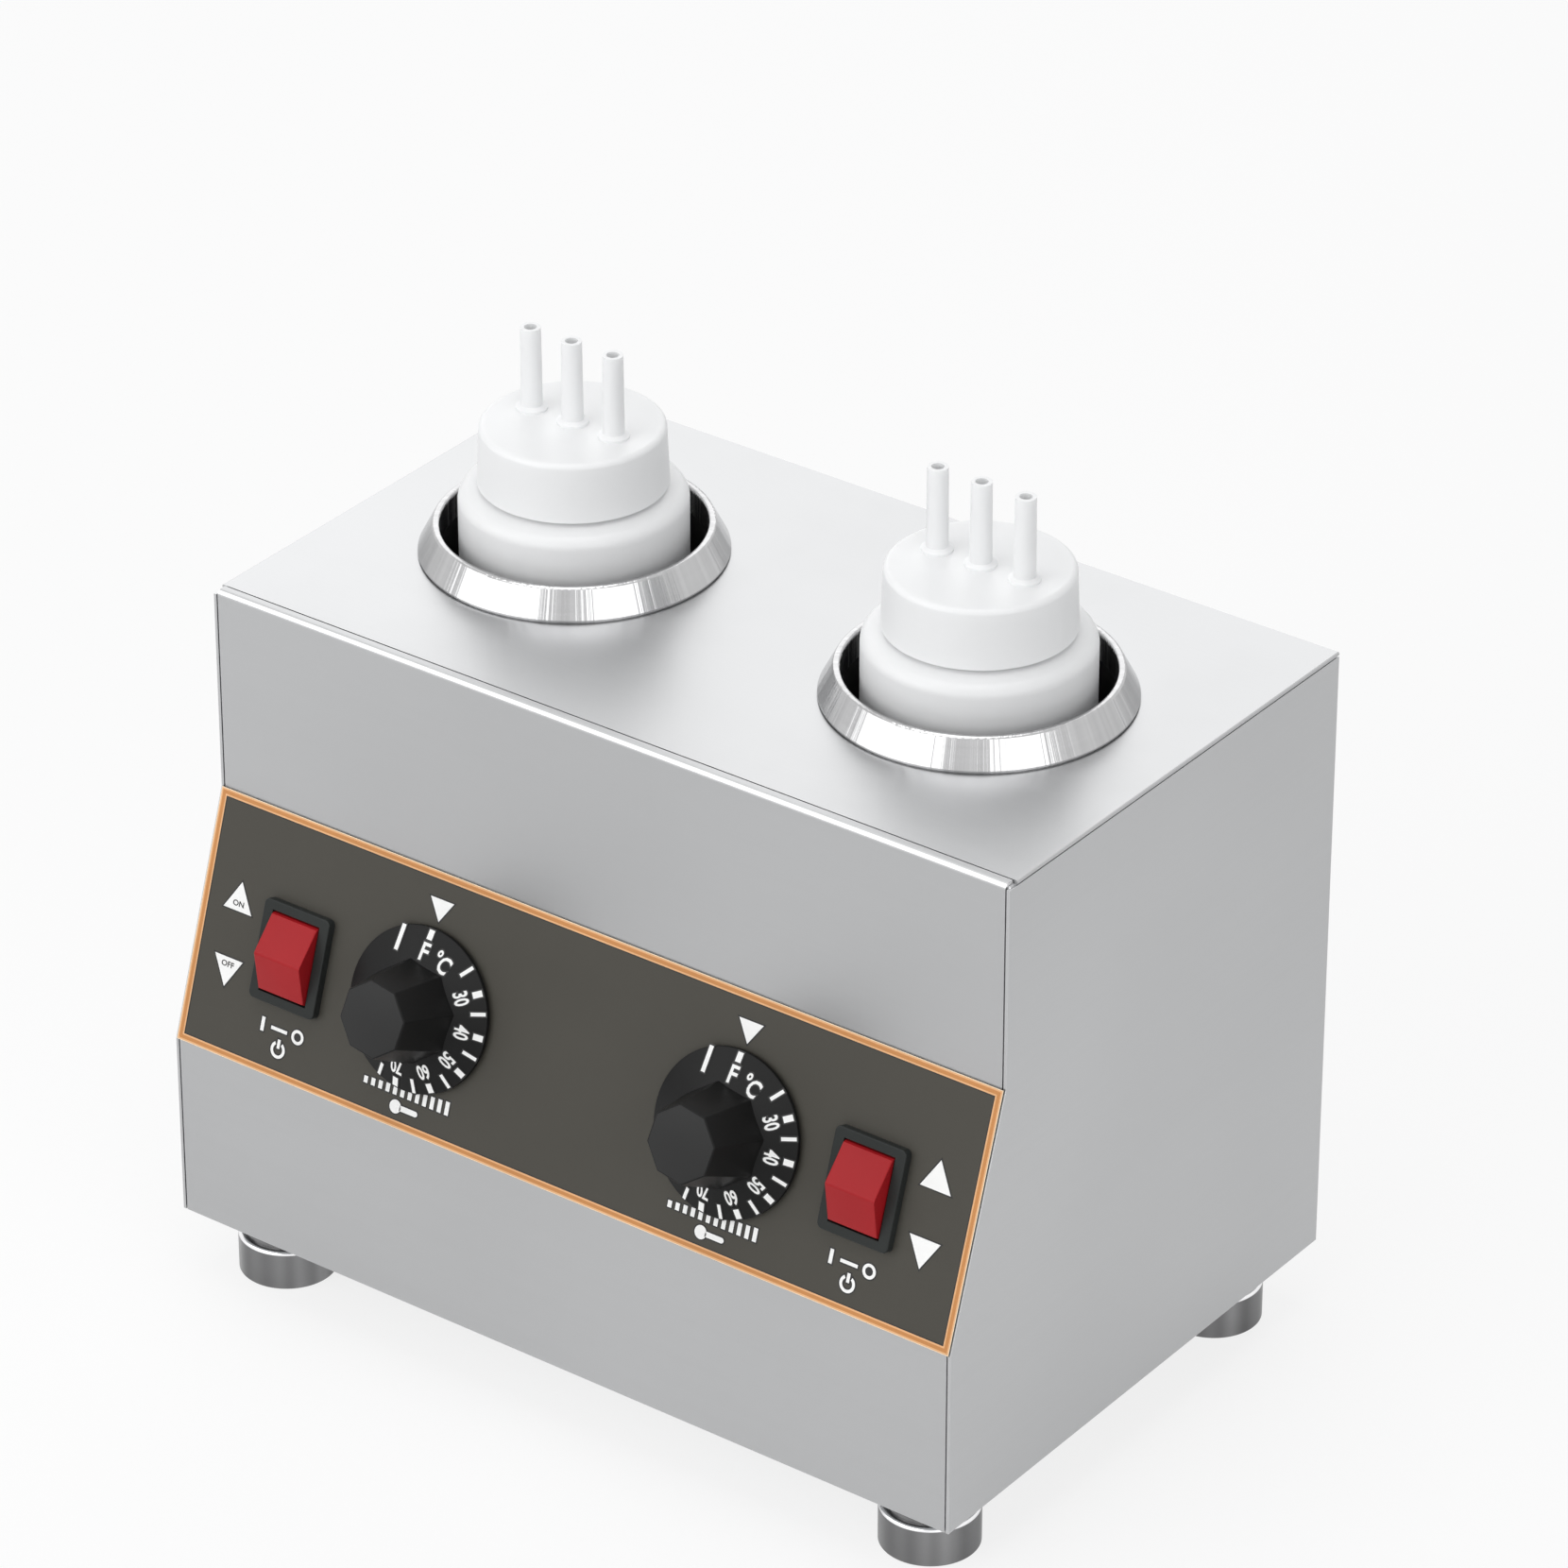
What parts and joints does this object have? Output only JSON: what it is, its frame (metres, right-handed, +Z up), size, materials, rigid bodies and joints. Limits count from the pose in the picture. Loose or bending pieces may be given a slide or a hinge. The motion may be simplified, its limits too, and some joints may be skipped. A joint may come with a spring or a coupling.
{
  "type": "sauce bottle warmer",
  "caption": "Countertop topping warmer: a folded steel case on round feet with heated wells, squeeze bottles with nozzle caps, dial thermostats and rocker switches.",
  "frame": {"origin": "centre of the whole footprint, dials and cord gland included, at the undersides of the feet", "axes": "+Z up, the control panel faces -Y, +X to the right of someone facing the controls"},
  "size_m": [0.3, 0.2277, 0.309],
  "materials": {
    "black_moulding": "black moulded plastic",
    "blade_brass": "stamped brass",
    "bottle_plastic": "translucent white polyethylene",
    "cap_plastic": "white polyethylene",
    "capillary_copper": "drawn copper",
    "ceramic": "glazed ceramic",
    "control_film": "dark warm grey printed film with an orange border",
    "foot_metal": "turned, satin sides with a bright edge",
    "galvanised_plate": "plain galvanised plate",
    "heater_steel": "mica band heater in a steel sheath",
    "knob_plastic": "satin charcoal thermoset",
    "polished_ring": "spun and polished",
    "rocker_red": "translucent red moulding",
    "screw_steel": "zinc plated steel",
    "seal_silicone": "translucent silicone",
    "shaft_steel": "turned steel",
    "stainless_sheet": "fine brushed stainless sheet, folded",
    "terminal_plastic": "cream moulded plastic",
    "thermal_cutout": "moulded",
    "thermostat_plastic": "brown thermoset",
    "well_steel": "drawn steel, darkened by heat",
    "wire_insulation": "woven glass sleeving"
  },
  "bodies": {
    "case": {"base_plate": "galvanised_plate", "base_screws": "screw_steel", "control_film": "control_film", "cord_gland": "black_moulding", "earth_stud": "blade_brass", "foot_nuts": "screw_steel", "foot_screws": "screw_steel", "front_left_foot": "foot_metal", "front_panel": "stainless_sheet", "front_right_foot": "foot_metal", "gland_nut": "black_moulding", "left_band_screw": "screw_steel", "left_band_terminals": "ceramic", "left_bulb_sleeve": "well_steel", "left_cutout_studs": "screw_steel", "left_heater_band": "heater_steel", "left_heater_leads": "wire_insulation", "left_ring": "polished_ring", "left_sensor": "capillary_copper", "left_side_panel": "stainless_sheet", "left_switch_blades": "blade_brass", "left_switch_housing": "black_moulding", "left_thermal_cutout": "thermal_cutout", "left_thermostat": "thermostat_plastic", "left_thermostat_screws": "screw_steel", "left_well": "well_steel", "rear_left_foot": "foot_metal", "rear_panel": "stainless_sheet", "rear_right_foot": "foot_metal", "rear_screws": "screw_steel", "right_band_screw": "screw_steel", "right_band_terminals": "ceramic", "right_bulb_sleeve": "well_steel", "right_cutout_studs": "screw_steel", "right_heater_band": "heater_steel", "right_heater_leads": "wire_insulation", "right_ring": "polished_ring", "right_sensor": "capillary_copper", "right_side_panel": "stainless_sheet", "right_switch_blades": "blade_brass", "right_switch_housing": "black_moulding", "right_thermal_cutout": "thermal_cutout", "right_thermostat": "thermostat_plastic", "right_thermostat_screws": "screw_steel", "right_well": "well_steel", "terminal_block": "terminal_plastic", "top_panel": "stainless_sheet"},
    "left_bottle_body": {"left_bottle": "bottle_plastic"},
    "left_seal_body": {"left_cap_seal": "seal_silicone"},
    "left_cap_body": {"left_cap": "cap_plastic"},
    "left_dial": {"left_knob": "knob_plastic", "left_dial_shaft": "shaft_steel"},
    "left_switch": {"left_rocker": "rocker_red"},
    "right_bottle_body": {"right_bottle": "bottle_plastic"},
    "right_seal_body": {"right_cap_seal": "seal_silicone"},
    "right_cap_body": {"right_cap": "cap_plastic"},
    "right_dial": {"right_knob": "knob_plastic", "right_dial_shaft": "shaft_steel"},
    "right_switch": {"right_rocker": "rocker_red"}
  },
  "joints": [
    {"name": "left_bottle_lift", "type": "slide", "parent": "case", "child": "left_bottle_body", "axis": [0, 0, 1], "range_m": [0, 0.18]},
    {"name": "left_cap_lift", "type": "slide", "parent": "left_bottle_body", "child": "left_seal_body", "axis": [0, 0, 1], "range_m": [0, 0.03]},
    {"name": "left_cap_turn", "type": "hinge", "parent": "left_seal_body", "child": "left_cap_body", "pos_m": [-0.0771, 0.01562, 0.2614], "axis": [0, 0, 1], "range_deg": [0, 360]},
    {"name": "left_dial_turn", "type": "hinge", "parent": "case", "child": "left_dial", "pos_m": [-0.0592, -0.08545, 0.12546], "axis": [0, -0.9489, 0.3156], "range_deg": [0, 202]},
    {"name": "left_rocker_tilt", "type": "hinge", "parent": "case", "child": "left_switch", "pos_m": [-0.1102, -0.08588, 0.12544], "axis": [1, 0, 0], "range_deg": [-8, 8]},
    {"name": "right_bottle_lift", "type": "slide", "parent": "case", "child": "right_bottle_body", "axis": [0, 0, 1], "range_m": [0, 0.18]},
    {"name": "right_cap_lift", "type": "slide", "parent": "right_bottle_body", "child": "right_seal_body", "axis": [0, 0, 1], "range_m": [0, 0.03]},
    {"name": "right_cap_turn", "type": "hinge", "parent": "right_seal_body", "child": "right_cap_body", "pos_m": [0.0771, 0.01562, 0.2614], "axis": [0, 0, 1], "range_deg": [0, 360]},
    {"name": "right_dial_turn", "type": "hinge", "parent": "case", "child": "right_dial", "pos_m": [0.0592, -0.08545, 0.12546], "axis": [0, -0.9489, 0.3156], "range_deg": [0, 202]},
    {"name": "right_rocker_tilt", "type": "hinge", "parent": "case", "child": "right_switch", "pos_m": [0.1102, -0.08588, 0.12544], "axis": [1, 0, 0], "range_deg": [-8, 8]}
  ]
}
